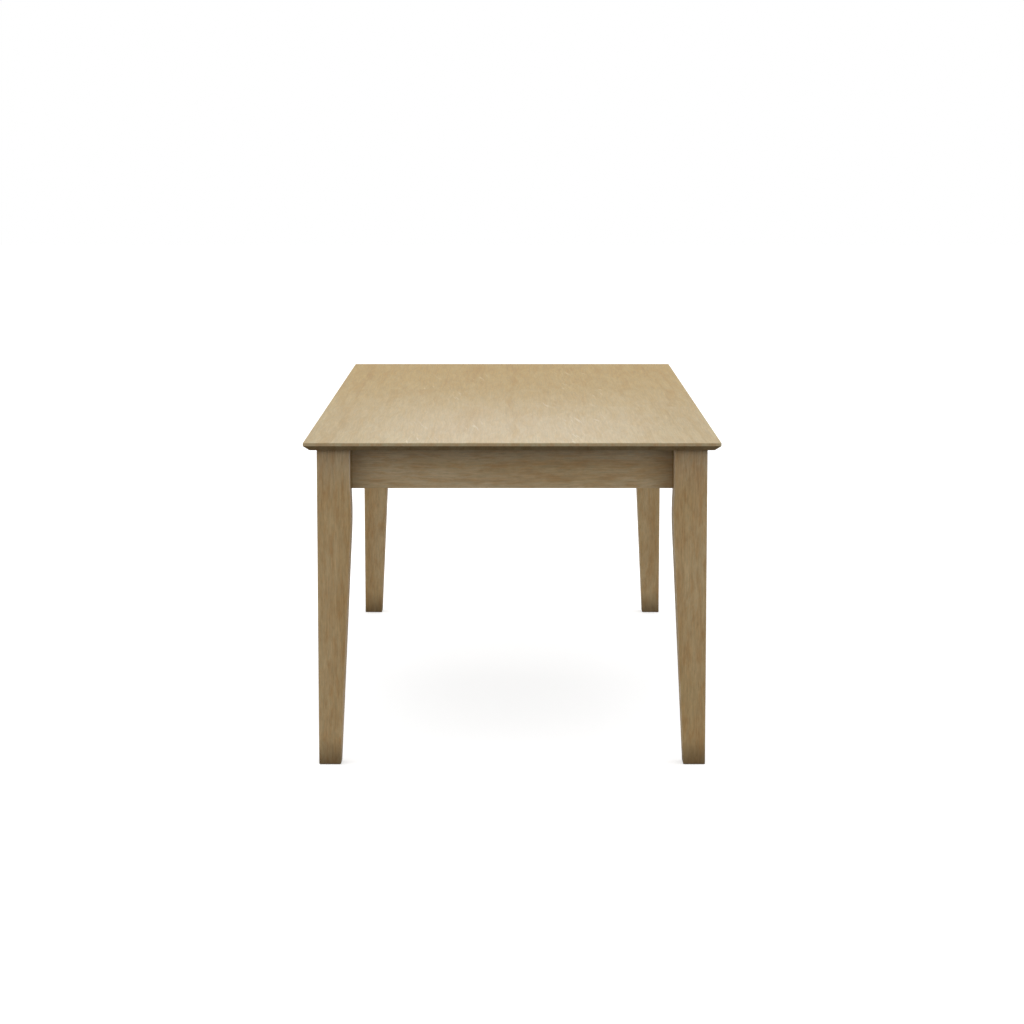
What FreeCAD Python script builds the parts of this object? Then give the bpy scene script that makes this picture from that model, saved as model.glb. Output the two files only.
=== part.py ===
import FreeCAD, Part
import math
import os

from FreeCAD import Vector

# Extending table, drawn out with its one leaf laid in.
# X runs across the table, Y along it, Z up, in millimetres.
# The origin is on the floor under the middle of the leaf.
# The near half lies towards -Y and the far half towards +Y.

# Overall sizes
table_width = 965.0
table_height = 762.0
half_length = 889.0
leaf_length = 508.0
slide_opening = 660.0

# Top boards
top_thickness = 19.0
edge_band = 7.7
bevel_reach = 15.0
corner_radius = 5.0
arris = 1.2
seam_gap = 0.3

# Legs
overhang = 30.0
leg_width = 77.0
knee_width = 79.7
knee_drop = 50.0
knee_run_share = 0.9
foot_width = 51.4
block_below_apron = 6.0
leg_edge_ease = 1.6
foot_chamfer = 1.6

# Foot glides
glide_radius = 11.0
glide_thickness = 6.0
glide_showing = 0.6

# Aprons and the leaf's skirts
apron_height = 96.0
apron_thickness = 22.0
apron_setback = 50.0
skirt_end_gap = 1.0

# Cleats and battens under the tops
cleat_thickness = 19.0
cleat_width = 70.0
outer_cleat_inset = 30.0
inner_cleat_gap = 13.0
batten_width = 60.0
batten_inset = 74.0
batten_end_gap = 80.0
batten_seat_gap = 0.3

# Slide runners
slide_side_gap = 24.5
runner_thickness = 22.0
runner_height = 57.0
runner_gap = 1.0
runner_end_gap = 16.0
runner_past_rack = 20.0
centre_length = 1120.0
centre_drop = 0.5

# Dovetail ways along the runners
way_rise = 19.0
way_depth = 7.0
way_mouth = 12.0
way_floor = 18.0
way_gap = 0.3

# Racks and pinions
gear_module = 2.64
pinion_teeth = 10
pressure_angle = 25.0
addendum_share = 0.68
dedendum_share = 0.9
flank_steps = 2
backlash = 0.3
gear_height = 8.0
gear_drop = 14.0
rack_back = 3.5
rack_spare_teeth = 2
mortise_gap = 1.0
pinion_pin_radius = 4.0
pinion_pin_gap = 0.05
pinion_pin_foot = 10.0

# Crossbars between the middle runners
crossbar_thickness = 18.0
crossbar_width = 60.0
crossbar_inset = 60.0
crossbar_gap = 0.5

# Stop blocks under the outer runners
stop_length = 20.0
stop_height = 12.0

# Corner brackets and leg bolts
bracket_thickness = 2.5
bracket_height = 50.0
bracket_drop = 22.0
bracket_reach = 56.0
bracket_wing = 26.0
bolt_radius = 4.0
bolt_hole_gap = 0.5
bolt_in_leg = 34.0
bolt_past_nut = 5.0
nut_across_flats = 13.0
nut_thickness = 6.5

# Leaf locks under the two seams
lock_side_gap = 25.5
lock_pivot_back = 22.0
lock_plate_thickness = 2.0
lock_plate_width = 30.0
lock_plate_front = 4.0
lock_plate_length = 36.0
lever_thickness = 3.0
lever_gap = 0.3
lever_hub_radius = 8.0
lever_handle_length = 31.0
lever_handle_width = 12.0
hook_width = 6.0
hook_gap = 0.3
hook_lead_angle = 22.0
hook_trail_angle = 26.0
rivet_radius = 3.0
rivet_head_radius = 5.5
rivet_head_thickness = 1.6
keeper_front = 14.0
keeper_post_radius = 3.0
keeper_post_spare = 2.0
keeper_plate_width = 26.0
keeper_plate_edge = 4.0
keeper_plate_length = 22.0

# One overrun serves every cut
overrun = 5.0

# Heights and places that follow from the sizes above
underside = table_height - top_thickness
runner_top = underside - cleat_thickness
runner_foot = runner_top - runner_height
apron_foot = underside - apron_height
half_width = table_width / 2
seam = leaf_length / 2
end = seam + half_length
leg_outer_x = half_width - overhang
leg_outer_y = end - overhang
leg_inner_x = leg_outer_x - leg_width
leg_inner_y = leg_outer_y - leg_width
apron_inner_x = leg_outer_x - apron_setback - apron_thickness
apron_inner_y = leg_outer_y - apron_setback - apron_thickness
overtravel = (slide_opening - leaf_length) / 2
closing_travel = leaf_length / 2
pitch_radius = gear_module * pinion_teeth / 2
tooth_pitch = math.pi * gear_module
addendum = addendum_share * gear_module
dedendum = dedendum_share * gear_module
rack_spare = rack_spare_teeth * tooth_pitch
gear_level = runner_top - gear_drop
way_level = runner_foot + way_rise
centre_face = runner_thickness / 2
outer_face = centre_face + runner_gap
outer_back = outer_face + runner_thickness
slide_offset = apron_inner_x - bracket_reach - bracket_wing - slide_side_gap - outer_back
lock_offset = apron_inner_x - lever_handle_length - lock_side_gap
inner_cleat_inset = lock_pivot_back + lever_handle_length + inner_cleat_gap
crossbar_end = centre_length / 2 - crossbar_inset
bracket_level = underside - bracket_drop - bracket_height
bolt_level = bracket_level + bracket_height / 2
lever_top = underside - lock_plate_thickness - lever_gap
lever_foot = lever_top - lever_thickness
hook_inner_radius = lock_pivot_back + keeper_front + keeper_post_radius + hook_gap

ORIGIN = Vector(0, 0, 0)
ALONG_X = Vector(1, 0, 0)
ALONG_Y = Vector(0, 1, 0)
ALONG_Z = Vector(0, 0, 1)
QUARTER_TURN = 90.0


def block(x_from, x_to, y_from, y_to, z_from, z_to):
    """A box between two corners."""
    return Part.makeBox(x_to - x_from, y_to - y_from, z_to - z_from, Vector(x_from, y_from, z_from))


def left_of(shape):
    """The same piece on the table's left side."""
    return shape.mirror(ORIGIN, ALONG_X)


def far_of(shape):
    """The same piece on the table's far half."""
    return shape.mirror(ORIGIN, ALONG_Y)


def moved(shape, *offset):
    """A copy of a shape, shifted."""
    return shape.translated(Vector(*offset))


def prism(points, direction):
    """A flat outline pushed along a direction."""
    return Part.Face(Part.makePolygon(points + points[:1])).extrude(direction)


def middle_of(edge):
    """The point half way along an edge."""
    return edge.valueAt((edge.FirstParameter + edge.LastParameter) / 2)


def edges_where(shape, test):
    """The edges whose middle point passes a test."""
    return [edge for edge in shape.Edges if test(middle_of(edge))]


# Top boards
def bevel_wedge(face, run):
    """The wedge planed off under an edge: its section lies in XZ, and it runs along Y."""
    slope_share = bevel_reach / (top_thickness - edge_band)
    foot = underside - overrun
    inner = face - bevel_reach - overrun * slope_share
    outer = face + overrun * slope_share
    level = table_height - edge_band + overrun
    section = [Vector(inner, 0, foot), Vector(outer, 0, foot), Vector(outer, 0, level)]
    return moved(prism(section, Vector(0, run * 2, 0)), 0, -run, 0)


def side_bevels():
    """The wedges under both long edges of the table."""
    wedge = bevel_wedge(half_width, end + overrun)
    return [wedge, left_of(wedge)]


def near_end_bevel():
    """The wedge under the near end of the table."""
    wedge = bevel_wedge(end, half_width + overrun)
    return wedge.rotated(ORIGIN, ALONG_Z, -QUARTER_TURN)


def near_top():
    """The near half's board: bevelled under three edges, square at the seam."""
    board = block(-half_width, half_width, -end, -seam - seam_gap, underside, table_height)
    corners = edges_where(board, lambda at: at.y < -end + overrun and abs(at.x) > half_width - overrun)
    board = board.makeFillet(corner_radius, corners)
    board = board.cut(side_bevels() + [near_end_bevel()])
    rim = edges_where(board, lambda at: at.z > table_height - arris and at.y < -seam - overrun)
    return board.makeChamfer(arris, rim)


def leaf_top():
    """The leaf's board: bevelled under its two sides, square at both seams."""
    board = block(-half_width, half_width, -seam, seam, underside, table_height).cut(side_bevels())
    rim = edges_where(board, lambda at: at.z > table_height - arris and abs(at.y) < seam - overrun)
    return board.makeChamfer(arris, rim)


# Legs
def knee_arc(block_foot, knee, foot):
    """The round of the knee, tangent to the flare above it and to the taper below it."""
    upward = (block_foot - knee).normalize()
    downward = (foot - knee).normalize()
    run = (block_foot - knee).Length * knee_run_share
    half_opening = upward.getAngle(downward) / 2
    inward = (upward + downward).normalize()
    crown = run * (1 - math.sin(half_opening)) / math.cos(half_opening)
    return Part.Arc(knee + upward * run, knee + inward * crown, knee + downward * run)


def leg_profile(outer):
    """A leg's side view: a straight outer edge, and an inner edge that flares to a knee and tapers."""
    block_foot = Vector(outer - leg_width, 0, apron_foot - block_below_apron)
    knee = Vector(outer - knee_width, 0, block_foot.z - knee_drop)
    foot = Vector(outer - foot_width, 0, glide_showing)
    arc = knee_arc(block_foot, knee, foot)
    corners = [arc.EndPoint, foot, Vector(outer, 0, glide_showing), Vector(outer, 0, underside),
               Vector(outer - leg_width, 0, underside), block_foot, arc.StartPoint]
    lines = [Part.LineSegment(a, b).toShape() for a, b in zip(corners, corners[1:])]
    return Part.Face(Part.Wire([arc.toShape()] + lines))


def near_right_leg():
    """A leg shaped on its two inner faces, with eased edges and a chamfered foot."""
    run = knee_width + overrun * 2
    across = moved(leg_profile(leg_outer_x).extrude(Vector(0, run, 0)), 0, -leg_outer_y, 0)
    along = leg_profile(leg_outer_y).extrude(Vector(0, run, 0)).rotated(ORIGIN, ALONG_Z, -QUARTER_TURN)
    leg = across.common(moved(along, leg_outer_x - run, 0, 0))
    steep = [edge for edge in leg.Edges if abs(edge.tangentAt(edge.FirstParameter).z) > math.sqrt(1 / 2)]
    leg = leg.makeChamfer(leg_edge_ease, steep)
    leg = leg.makeChamfer(foot_chamfer, edges_where(leg, lambda at: at.z < glide_showing + foot_chamfer / 2))
    return leg.cut([near_right_glide(), near_right_bolt()])


def near_right_glide():
    """A glide let into the foot, standing a little proud of it."""
    place = Vector(leg_outer_x - foot_width / 2, foot_width / 2 - leg_outer_y, 0)
    return Part.makeCylinder(glide_radius, glide_thickness, place)


# Aprons
def near_end_apron():
    """The apron across the near end, between the two legs, notched for the leg bolts."""
    y_to = -apron_inner_y
    board = block(-leg_inner_x, leg_inner_x, y_to - apron_thickness, y_to, apron_foot, underside)
    notch = near_right_notch()
    return board.cut([notch, left_of(notch)])


def near_right_apron():
    """The apron along the near half's right side, from the leg to the seam, notched for the leg bolt."""
    board = block(apron_inner_x, apron_inner_x + apron_thickness, -leg_inner_y, -seam - skirt_end_gap,
                  apron_foot, underside)
    return board.cut(near_right_notch())


def leaf_right_skirt():
    """The leaf's own length of apron on the right side."""
    return block(apron_inner_x, apron_inner_x + apron_thickness, -seam, seam, apron_foot, underside)


# Cleats and battens
def cleat(y_from):
    """A cross piece under the near board that carries the runners."""
    return block(-apron_inner_x, apron_inner_x, y_from, y_from + cleat_width, runner_top, underside)


def near_outer_cleat():
    """The cleat by the end apron."""
    return cleat(outer_cleat_inset - apron_inner_y)


def near_inner_cleat():
    """The cleat by the seam, clear of the leaf locks."""
    return cleat(-seam - inner_cleat_inset - cleat_width)


def leaf_near_batten():
    """A batten under the leaf, resting on the near half's runners."""
    reach = apron_inner_x - batten_end_gap
    y_from = batten_inset - seam
    return block(-reach, reach, y_from, y_from + batten_width, runner_top + batten_seat_gap, underside)


# Slide runners. Side -1 is inboard of the middle runner and side 1 outboard of it.
def way_section(side, mouth_plane, gap):
    """The dovetail's section, from a plane at its mouth to its floor inside the middle runner."""
    mouth = way_mouth / 2 - gap
    floor = way_floor / 2 - gap
    floor_plane = centre_face - way_depth + gap
    half = [(mouth_plane, mouth), (centre_face, mouth), (floor_plane, floor)]
    outline = half + [(plane, -rise) for plane, rise in reversed(half)]
    return [Vector(slide_offset + side * plane, 0, way_level + rise) for plane, rise in outline]


def way(side, mouth_plane, gap, y_from, y_to):
    """A length of dovetail: a tongue where a gap is taken off it, or the cutter for a groove."""
    return moved(prism(way_section(side, mouth_plane, gap), Vector(0, y_to - y_from, 0)), 0, y_from, 0)


def rack_span(side):
    """Where a rack starts and stops, so that it meets the pinion over the whole travel."""
    return sorted([side * (closing_travel + rack_spare), -side * (overtravel + rack_spare)])


def rack_room(side):
    """The groove in an outer runner that holds its rack."""
    back = slide_offset + side * (pitch_radius + dedendum + rack_back)
    face = slide_offset + side * outer_face
    y_from, y_to = rack_span(side)
    return block(min(back, face), max(back, face), y_from, y_to,
                 gear_level - gear_height / 2, gear_level + gear_height / 2)


def right_outer_runner(side):
    """An outer runner with its tongue: the near half's is inboard and the far half's outboard."""
    face = slide_offset + side * outer_face
    back = face + side * runner_thickness
    past_middle = overtravel + rack_spare + runner_past_rack
    y_from, y_to = sorted([side * (apron_inner_y - runner_end_gap), -side * past_middle])
    runner = block(min(face, back), max(face, back), y_from, y_to, runner_foot, runner_top)
    return runner.fuse(way(side, outer_face, way_gap, y_from, y_to)).cut(rack_room(side))


def right_centre_runner():
    """The middle runner: a dovetail groove on both faces and a mortise for the pinion."""
    reach = centre_length / 2
    runner = block(slide_offset - centre_face, slide_offset + centre_face, -reach, reach,
                   runner_foot, runner_top - centre_drop)
    grooves = [way(side, centre_face + overrun, 0, -reach - overrun, reach + overrun) for side in (-1, 1)]
    room = pitch_radius + addendum + mortise_gap
    height = gear_height / 2 + mortise_gap
    mortise = block(slide_offset - centre_face - overrun, slide_offset + centre_face + overrun, -room, room,
                    gear_level - height, gear_level + height)
    return runner.cut(grooves + [mortise, right_pinion_pin()])


def near_crossbar():
    """A bar that ties the two middle runners together from below, lapped clear of the outer ones."""
    reach = slide_offset + outer_back
    y_to = crossbar_width - crossbar_end
    bar = block(-reach, reach, -crossbar_end, y_to, runner_foot - crossbar_thickness, runner_foot)

    def lap(x_from, x_to):
        level = runner_foot - crossbar_gap
        return block(x_from, x_to, -crossbar_end - overrun, y_to + overrun, level, runner_foot + overrun)

    inboard = lap(centre_face - slide_offset, slide_offset - centre_face)
    outboard = lap(slide_offset + centre_face, reach + overrun)
    return bar.cut([inboard, outboard, left_of(outboard)])


def right_runner_stop(side):
    """A block under an outer runner that meets the crossbar when the table is drawn right out."""
    face = slide_offset + side * outer_face
    back = face + side * runner_thickness
    near = crossbar_end - crossbar_width - overtravel
    y_from, y_to = sorted([side * near, side * (near - stop_length)])
    return block(min(face, back), max(face, back), y_from, y_to, runner_foot - stop_height, runner_foot)


# Racks and pinions
def rack_tooth_profile(middle):
    """One straight-sided tooth: distance from the pinion's axis, and place along the rack."""
    slope = math.tan(math.radians(pressure_angle))
    at_pitch = tooth_pitch / 4 - backlash / 4
    root = (pitch_radius + dedendum, at_pitch + dedendum * slope)
    tip = (pitch_radius - addendum, at_pitch - addendum * slope)
    lower = [(reach, middle - along) for reach, along in (root, tip)]
    upper = [(reach, middle + along) for reach, along in (tip, root)]
    return lower + upper


def right_rack(side):
    """A rack let into an outer runner's face, its teeth towards the pinion."""
    y_from, y_to = rack_span(side)
    back = pitch_radius + dedendum + rack_back
    first = math.ceil(y_from / tooth_pitch)
    last = math.floor(y_to / tooth_pitch)
    outline = [(back, y_from), (pitch_radius + dedendum, y_from)]
    for space in range(first, last):
        outline += rack_tooth_profile((space + 1 / 2) * tooth_pitch)
    outline += [(pitch_radius + dedendum, y_to), (back, y_to)]
    foot = gear_level - gear_height / 2
    points = [Vector(slide_offset + side * reach, along, foot) for reach, along in outline]
    return prism(points, Vector(0, 0, gear_height))


def pinion_flank():
    """One involute flank as (radius, angle from the tooth's middle), from root to tip."""
    base_radius = pitch_radius * math.cos(math.radians(pressure_angle))
    tip_radius = pitch_radius + addendum

    def unwound(radius):
        turn = math.sqrt((radius / base_radius) ** 2 - 1)
        return turn - math.atan(turn)

    half_tooth = (tooth_pitch / 4 - backlash / 4) / pitch_radius
    start = half_tooth + unwound(pitch_radius)
    steps = [base_radius + (tip_radius - base_radius) * step / flank_steps for step in range(flank_steps + 1)]
    return [(pitch_radius - dedendum, start)] + [(radius, start - unwound(radius)) for radius in steps]


def right_pinion():
    """The pinion between the two racks, with a tooth pointing at each."""
    flank = pinion_flank()
    points = []
    for tooth in range(pinion_teeth):
        middle = tooth * math.tau / pinion_teeth
        for radius, angle in flank:
            points.append((radius, middle - angle))
        for radius, angle in reversed(flank):
            points.append((radius, middle + angle))
    foot = gear_level - gear_height / 2
    outline = [Vector(slide_offset + radius * math.cos(angle), radius * math.sin(angle), foot)
               for radius, angle in points]
    bore = Part.makeCylinder(pinion_pin_radius + pinion_pin_gap, gear_height, Vector(slide_offset, 0, foot))
    return prism(outline, Vector(0, 0, gear_height)).cut(bore)


def right_pinion_pin():
    """The pin that a pinion turns on, driven down through the middle runner's top."""
    foot = gear_level - gear_height / 2 - mortise_gap - pinion_pin_foot
    length = runner_top - centre_drop - foot
    return Part.makeCylinder(pinion_pin_radius, length, Vector(slide_offset, 0, foot))


# Corner brackets and leg bolts, laid out from the inner corner of the near right aprons
def corner_place(shape):
    """Puts a corner piece, drawn with the aprons along +X and +Y, in the near right corner."""
    turned = shape.rotated(ORIGIN, ALONG_Z, QUARTER_TURN)
    return moved(turned, apron_inner_x, -apron_inner_y, 0)


def near_right_bracket():
    """A folded steel plate across the corner, with a wing flat on each apron."""
    inner = bracket_thickness * math.tan(math.pi / 8)
    far = bracket_reach + bracket_wing
    half = [(far, 0), (bracket_reach, 0)]
    outer_half = [(far, bracket_thickness), (bracket_reach + inner, bracket_thickness)]
    outline = half + [(y, x) for x, y in reversed(half)] + [(y, x) for x, y in outer_half] + outer_half[::-1]
    points = [Vector(x, y, bracket_level) for x, y in outline]
    return corner_place(prism(points, Vector(0, 0, bracket_height))).cut(near_right_bolt_hole())


def diagonal_rod(radius, start, length):
    """A rod along the corner's diagonal, from a distance out to a length further."""
    direction = Vector(1, 1, 0).normalize()
    return Part.makeCylinder(radius, length, direction * start + Vector(0, 0, bolt_level), direction)


def plate_face():
    """How far along the diagonal the bracket's inner face lies."""
    return bracket_reach / math.sqrt(2) + bracket_thickness


def near_right_bolt_hole():
    """The clearance hole that a leg bolt has in its bracket."""
    return corner_place(diagonal_rod(bolt_radius + bolt_hole_gap, 0, bracket_reach + bracket_wing))


def near_right_notch():
    """The square notch that lets a leg bolt past the ends of both aprons."""
    room = bolt_radius + bolt_hole_gap
    notch = block(-leg_width, bracket_reach / 2, -room, room, bolt_level - room, bolt_level + room)
    return corner_place(notch.rotated(ORIGIN, ALONG_Z, QUARTER_TURN / 2))


def near_right_bolt():
    """The bolt that draws the leg's corner into the bracket."""
    leg_corner = (apron_setback + apron_thickness - leg_width) * math.sqrt(2)
    start = -leg_corner - bolt_in_leg
    length = plate_face() + nut_thickness + bolt_past_nut - start
    return corner_place(diagonal_rod(bolt_radius, start, length))


def near_right_nut():
    """The hexagon nut on a leg bolt."""
    first_corner = Vector(nut_across_flats / math.sqrt(3), 0, 0)
    points = []
    for turn in range(6):
        points.append(FreeCAD.Rotation(ALONG_Z, turn * QUARTER_TURN * 4 / 6).multVec(first_corner))
    nut = prism(points, Vector(0, 0, nut_thickness)).cut(Part.makeCylinder(bolt_radius, nut_thickness))
    nut = nut.rotated(ORIGIN, ALONG_Y, QUARTER_TURN).rotated(ORIGIN, ALONG_Z, QUARTER_TURN / 2)
    away = plate_face() / math.sqrt(2)
    return corner_place(moved(nut, away, away, bolt_level))


# Leaf locks, drawn at the near seam's right lock
def lock_rod(radius, top, height, y):
    """An upright round piece of a lock, hanging down from a level."""
    return Part.makeCylinder(radius, height, Vector(lock_offset, y - seam, top - height))


def lock_plate():
    """The plate under the board, with the rivet that the lever turns on."""
    plate = block(lock_offset - lock_plate_width / 2, lock_offset + lock_plate_width / 2,
                  -seam - lock_plate_front - lock_plate_length, -seam - lock_plate_front,
                  underside - lock_plate_thickness, underside)
    shank_height = lock_plate_thickness + lever_thickness + lever_gap * 2
    shank = lock_rod(rivet_radius, underside, shank_height, -lock_pivot_back)
    head = lock_rod(rivet_head_radius, underside - shank_height, rivet_head_thickness, -lock_pivot_back)
    return plate.fuse([shank, head])


def lever():
    """The lever, standing open: an arc hook on a spoke, a hub and a finger tab."""
    def disc(radius):
        return lock_rod(radius, lever_top, lever_thickness, -lock_pivot_back)

    def arm(reach, width, angle):
        bar = block(0, reach, -width / 2, width / 2, lever_foot, lever_top).rotated(ORIGIN, ALONG_Z, angle)
        return moved(bar, lock_offset, -lock_pivot_back - seam, 0)

    hook_outer_radius = hook_inner_radius + hook_width
    swept = hook_lead_angle + hook_trail_angle
    ring = disc(hook_outer_radius).cut(disc(hook_inner_radius))
    sector = Part.makeCylinder(hook_outer_radius, lever_thickness, Vector(0, 0, lever_foot), ALONG_Z, swept)
    sector = sector.rotated(ORIGIN, ALONG_Z, QUARTER_TURN * 2 - hook_lead_angle)
    hook = ring.common(moved(sector, lock_offset, -lock_pivot_back - seam, 0))
    spoke_turn = math.degrees(math.asin(hook_width / 2 / hook_inner_radius))
    spoke_angle = QUARTER_TURN * 2 + hook_trail_angle - spoke_turn
    spoke = arm(hook_inner_radius + hook_width / 2, hook_width, spoke_angle)
    handle = arm(lever_handle_length, lever_handle_width, 0)
    solid = disc(lever_hub_radius).fuse([spoke, hook, handle])
    return solid.cut(disc(rivet_radius + lever_gap)).removeSplitter()


def keeper():
    """The keeper across the seam: a plate with a post for the hook."""
    plate = block(lock_offset - keeper_plate_width / 2, lock_offset + keeper_plate_width / 2,
                  keeper_plate_edge - seam, keeper_plate_edge + keeper_plate_length - seam,
                  underside - lock_plate_thickness, underside)
    height = underside - lever_foot + keeper_post_spare
    return plate.fuse(lock_rod(keeper_post_radius, underside, height, keeper_front))


def next_seam(shape):
    """The same lock piece at the far seam."""
    return moved(shape, 0, leaf_length, 0)


def both_sides(shape):
    """A piece and its twin on the left, kept as separate solids."""
    return Part.makeCompound([shape, left_of(shape)])


def half_parts():
    """The pieces that the two halves share, as drawn for the near half."""
    leg = near_right_leg()
    apron = near_right_apron()
    return {
        "top": near_top(),
        "right_leg": leg,
        "left_leg": left_of(leg),
        "foot_glides": both_sides(near_right_glide()),
        "end_apron": near_end_apron(),
        "right_apron": apron,
        "left_apron": left_of(apron),
        "outer_cleat": near_outer_cleat(),
        "inner_cleat": near_inner_cleat(),
        "corner_brackets": both_sides(near_right_bracket()),
        "leg_bolts": both_sides(near_right_bolt()),
        "leg_nuts": both_sides(near_right_nut()),
    }


def slide_parts():
    """The geared slides: outer runners and racks on the halves, and the middle between them."""
    parts = {}
    for half, side in (("near", -1), ("far", 1)):
        runner = right_outer_runner(side)
        rack = right_rack(side)
        parts[half + "_right_runner"] = runner
        parts[half + "_left_runner"] = left_of(runner)
        parts[half + "_right_rack"] = rack
        parts[half + "_left_rack"] = left_of(rack)
        parts[half + "_runner_stops"] = both_sides(right_runner_stop(side))
    centre = right_centre_runner()
    pinion = right_pinion()
    parts["centre_right_runner"] = centre
    parts["centre_left_runner"] = left_of(centre)
    parts["right_pinion"] = pinion
    parts["left_pinion"] = left_of(pinion)
    parts["pinion_pins"] = both_sides(right_pinion_pin())
    parts["near_crossbar"] = near_crossbar()
    parts["far_crossbar"] = far_of(near_crossbar())
    return parts


def leaf_parts():
    """The leaf with its skirts and battens."""
    skirt = leaf_right_skirt()
    batten = leaf_near_batten()
    return {
        "leaf_top": leaf_top(),
        "leaf_right_skirt": skirt,
        "leaf_left_skirt": left_of(skirt),
        "leaf_near_batten": batten,
        "leaf_far_batten": far_of(batten),
    }


def lock_parts():
    """The locks: levers on the near side of each seam and keepers on the far side."""
    parts = {
        "near_lock_plates": both_sides(lock_plate()),
        "leaf_lock_plates": both_sides(next_seam(lock_plate())),
        "leaf_keepers": both_sides(keeper()),
        "far_keepers": both_sides(next_seam(keeper())),
    }
    for seam_name, piece in (("near", lever()), ("leaf", next_seam(lever()))):
        parts[seam_name + "_right_lever"] = piece
        parts[seam_name + "_left_lever"] = left_of(piece)
    return parts


def all_parts():
    """Every piece of the table by name."""
    parts = {}
    for name, shape in half_parts().items():
        parts["near_" + name] = shape
        parts["far_" + name] = far_of(shape)
    parts.update(slide_parts())
    parts.update(leaf_parts())
    parts.update(lock_parts())
    return parts


os.makedirs("parts", exist_ok=True)
for name, shape in all_parts().items():
    shape.exportStep(os.path.join("parts", name + ".step"))
    state = "valid" if shape.isValid() else "not valid"
    print(name, len(shape.Solids), "solid", round(shape.Volume), "mm3", state)
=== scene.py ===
# %% [markdown]
# # An extending maple table
# The table is drawn out with its one leaf laid in. Its joiner's parts come ready shaped from the CAD
# model, and this lesson gives them their finishes, adds the small fixings and lights the set.
# Everything is in metres: X runs across the table, Y along it and Z up from the floor.
# The first step loads the parts, and a helper reads the box of any one of them.

# %% Load the parts
import math

import bmesh
import bpy
from mathutils import Matrix, Vector


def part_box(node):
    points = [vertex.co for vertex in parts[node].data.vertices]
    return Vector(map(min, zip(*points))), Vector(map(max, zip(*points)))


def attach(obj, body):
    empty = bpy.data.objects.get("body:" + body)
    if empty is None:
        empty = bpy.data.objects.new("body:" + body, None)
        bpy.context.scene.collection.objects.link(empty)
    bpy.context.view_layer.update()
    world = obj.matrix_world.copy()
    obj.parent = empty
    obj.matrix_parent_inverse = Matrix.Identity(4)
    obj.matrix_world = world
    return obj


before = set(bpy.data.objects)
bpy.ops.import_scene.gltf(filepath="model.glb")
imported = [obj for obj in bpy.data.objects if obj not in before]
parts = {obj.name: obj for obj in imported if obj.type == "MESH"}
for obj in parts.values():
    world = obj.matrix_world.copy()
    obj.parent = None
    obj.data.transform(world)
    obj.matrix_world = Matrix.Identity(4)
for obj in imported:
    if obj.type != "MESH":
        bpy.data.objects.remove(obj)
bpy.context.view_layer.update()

# %% [markdown]
# ## Camera
# The photograph looks along the table from its near end, a little above the top. A long lens could stand
# far back or a wide one close in, and only one of them gives the slope that the long edges have, so the
# lens and the distance are worked out together from the corners of the top and then left alone.

# %% Stand the camera at the near end
camera_place = (-0.0003, -7.802, 1.474)
camera_pitch = 7.465
camera_lens = 102.27
scene = bpy.context.scene


def add_object(name, data):
    """A new object in the scene, made from a camera, a lamp or a mesh."""
    made = bpy.data.objects.new(name, data)
    scene.collection.objects.link(made)
    return made


camera_data = bpy.data.cameras.new("long_lens")
camera_data.lens = camera_lens
camera_data.sensor_width = 36.0
camera = add_object("camera", camera_data)
camera.location = camera_place
camera.rotation_euler = (math.radians(90.0 - camera_pitch), 0.0, 0.0)
scene.camera = camera
scene.view_settings.view_transform = "Standard"
print("camera", camera_place, "pitch", camera_pitch, "lens", camera_lens)

# %% [markdown]
# ## A bench for mixing finishes
# Wood, metal and nylon are all built from the same few nodes: noise that is stretched along one way,
# a range that picks part of it, and a mix between two colours. A small class keeps each finish short to
# write. Colours are given as they look on a screen, from 0 to 255, and turned into light values. The mix
# node has sockets for numbers, arrows and colours under the same names, so those for colours are picked
# by their place in the row.

# %% A class that lays nodes down
MIX_SHARE, MIX_FIRST, MIX_SECOND = 0, 6, 7
MIX_RESULT = 2


def paint(red, green, blue):
    """A screen colour as light values, with full cover."""
    def light(value):
        share = value / 255
        return share / 12.92 if share <= 0.04045 else ((share + 0.055) / 1.055) ** 2.4
    return (light(red), light(green), light(blue), 1.0)


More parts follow.
